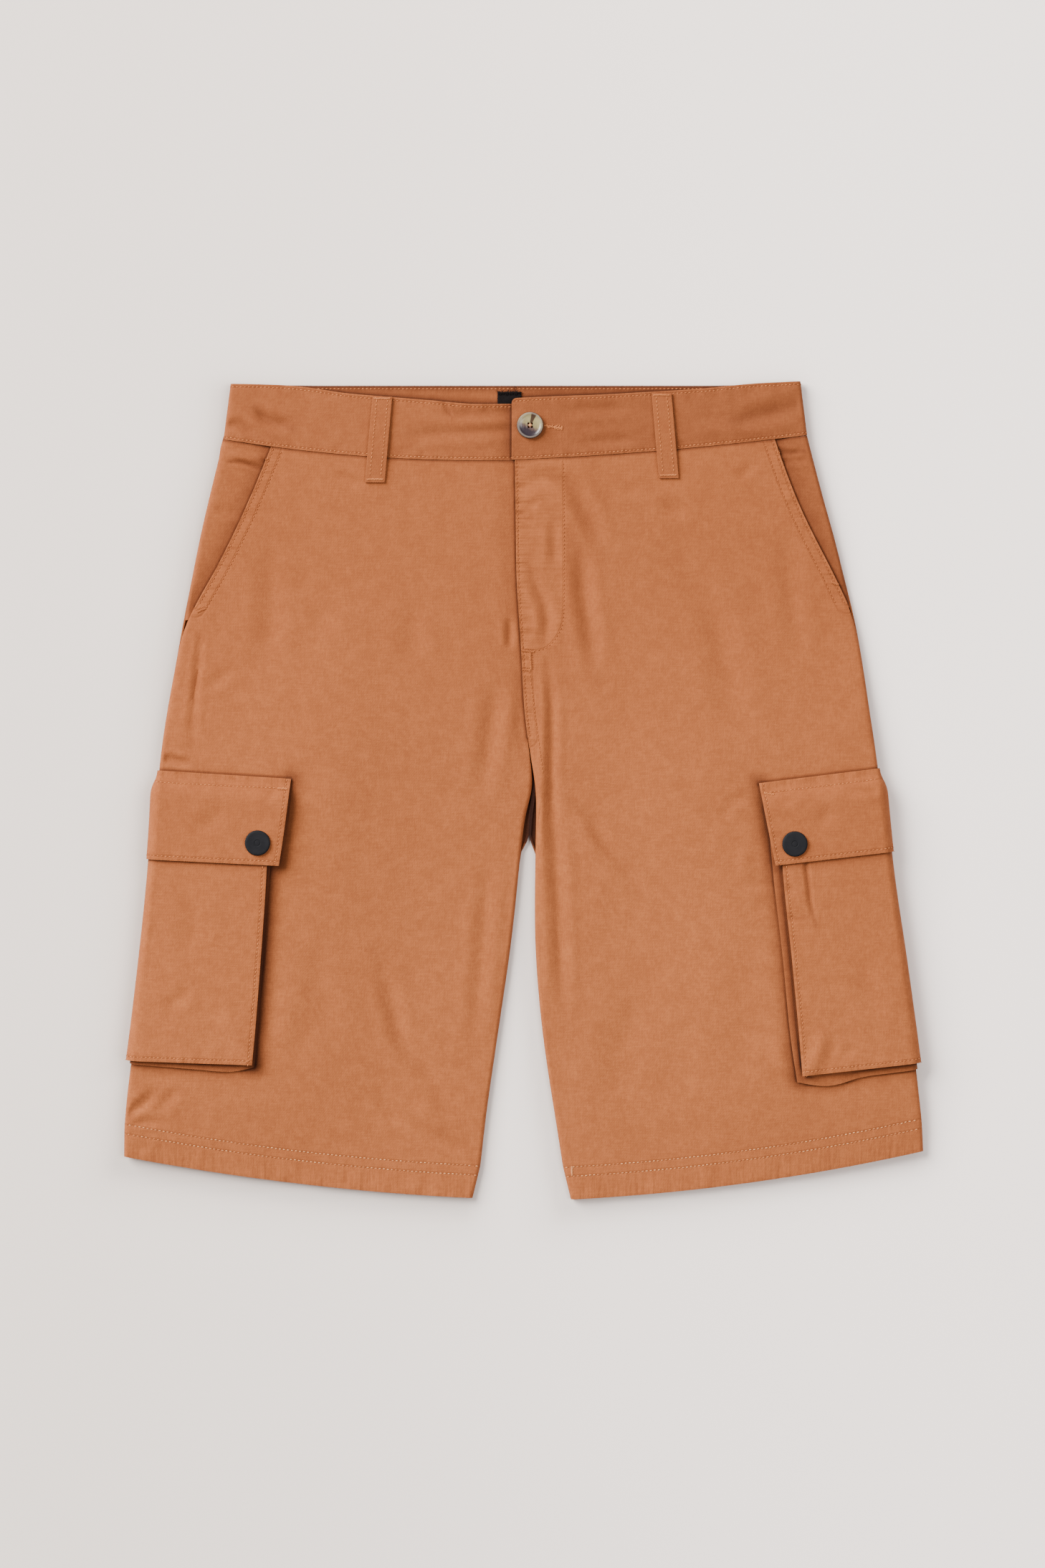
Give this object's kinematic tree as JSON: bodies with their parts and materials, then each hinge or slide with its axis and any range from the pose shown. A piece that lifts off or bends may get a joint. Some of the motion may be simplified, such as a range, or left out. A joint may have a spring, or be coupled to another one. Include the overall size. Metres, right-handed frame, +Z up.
{
  "type": "cargo shorts",
  "caption": "Knee-length men's cargo shorts in cotton twill, laid flat front up, with slanted hip pockets, flapped bellows pockets on the sides, belt loops and a buttoned waistband.",
  "frame": {"origin": "middle of the outline, on the surface that the shorts lie on", "axes": "+X to the wearer's left, +Y from the hems to the waist, +Z up from the back of the garment through its front"},
  "size_m": [0.5752, 0.5886, 0.0207],
  "materials": {
    "twill": "matt cotton twill",
    "band": "matt cotton twill",
    "button": "horn-effect resin",
    "snap": "matt black coating",
    "label": "plain woven"
  },
  "bodies": {
    "root": {"front_right": "twill", "front_left": "twill", "back_right": "twill", "back_left": "twill", "hip_facing_right": "twill", "hip_facing_left": "twill", "waistband_right": "band", "waistband_left": "band", "belt_loop_front_right": "band", "belt_loop_front_left": "band", "belt_loop_back_right": "band", "belt_loop_back_centre": "band", "belt_loop_back_left": "band", "cargo_pouch_right": "twill", "cargo_pouch_left": "twill", "cargo_bellows_right": "twill", "cargo_bellows_left": "twill", "cargo_flap_right": "twill", "cargo_flap_left": "twill", "cargo_snap_right": "snap", "cargo_snap_left": "snap", "waist_button": "button", "back_label": "label"}
  },
  "joints": []
}
